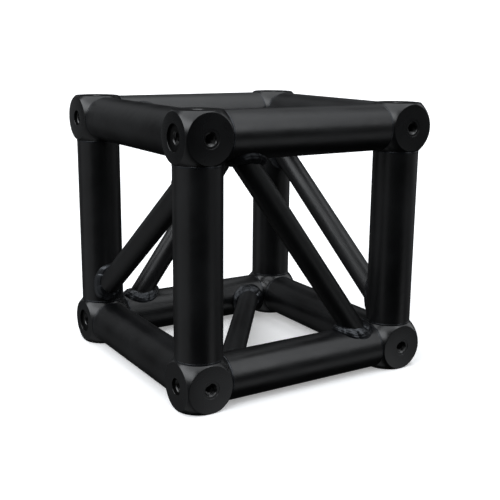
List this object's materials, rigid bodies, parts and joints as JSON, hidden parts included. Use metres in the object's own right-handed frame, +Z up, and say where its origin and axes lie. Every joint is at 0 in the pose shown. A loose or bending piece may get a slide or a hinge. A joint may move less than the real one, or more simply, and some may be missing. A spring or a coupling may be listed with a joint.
{
  "type": "lighting truss box corner section",
  "caption": "Cube-shaped corner section of a box truss: machined corner nodes with threaded holes, round chord tubes and diagonal braces, welded together.",
  "frame": {"origin": "the centre of the cube, where the centre lines of the trusses that bolt to it meet", "axes": "+Z up through the top bolt pattern, +X to the right through the right bolt pattern, -Y to the front; the right-hand and left-hand faces are the counterbored ones"},
  "size_m": [0.289, 0.289, 0.289],
  "materials": {
    "nodes": "machined aluminium with a satin black coat, bare metal in the threads",
    "tubes": "extruded aluminium tube with a satin black coat",
    "welds": "rippled weld bead under a glossier black coat"
  },
  "bodies": {
    "root": {"corner_node_bottom_front_left": "nodes", "corner_node_bottom_front_right": "nodes", "corner_node_bottom_back_left": "nodes", "corner_node_bottom_back_right": "nodes", "corner_node_top_front_left": "nodes", "corner_node_top_front_right": "nodes", "corner_node_top_back_left": "nodes", "corner_node_top_back_right": "nodes", "chord_bottom_front": "tubes", "chord_bottom_left": "tubes", "chord_bottom_right": "tubes", "chord_bottom_back": "tubes", "chord_front_left": "tubes", "chord_front_right": "tubes", "chord_back_left": "tubes", "chord_back_right": "tubes", "chord_top_front": "tubes", "chord_top_left": "tubes", "chord_top_right": "tubes", "chord_top_back": "tubes", "brace_front": "tubes", "brace_back": "tubes", "brace_left": "tubes", "brace_right": "tubes", "brace_bottom": "tubes", "brace_top": "tubes", "node_weld_bottom_front_left": "welds", "node_weld_bottom_front_right": "welds", "node_weld_bottom_back_left": "welds", "node_weld_bottom_back_right": "welds", "node_weld_top_front_left": "welds", "node_weld_top_front_right": "welds", "node_weld_top_back_left": "welds", "node_weld_top_back_right": "welds", "brace_weld_front": "welds", "brace_weld_back": "welds", "brace_weld_left": "welds", "brace_weld_right": "welds", "brace_weld_bottom": "welds", "brace_weld_top": "welds"}
  },
  "joints": []
}
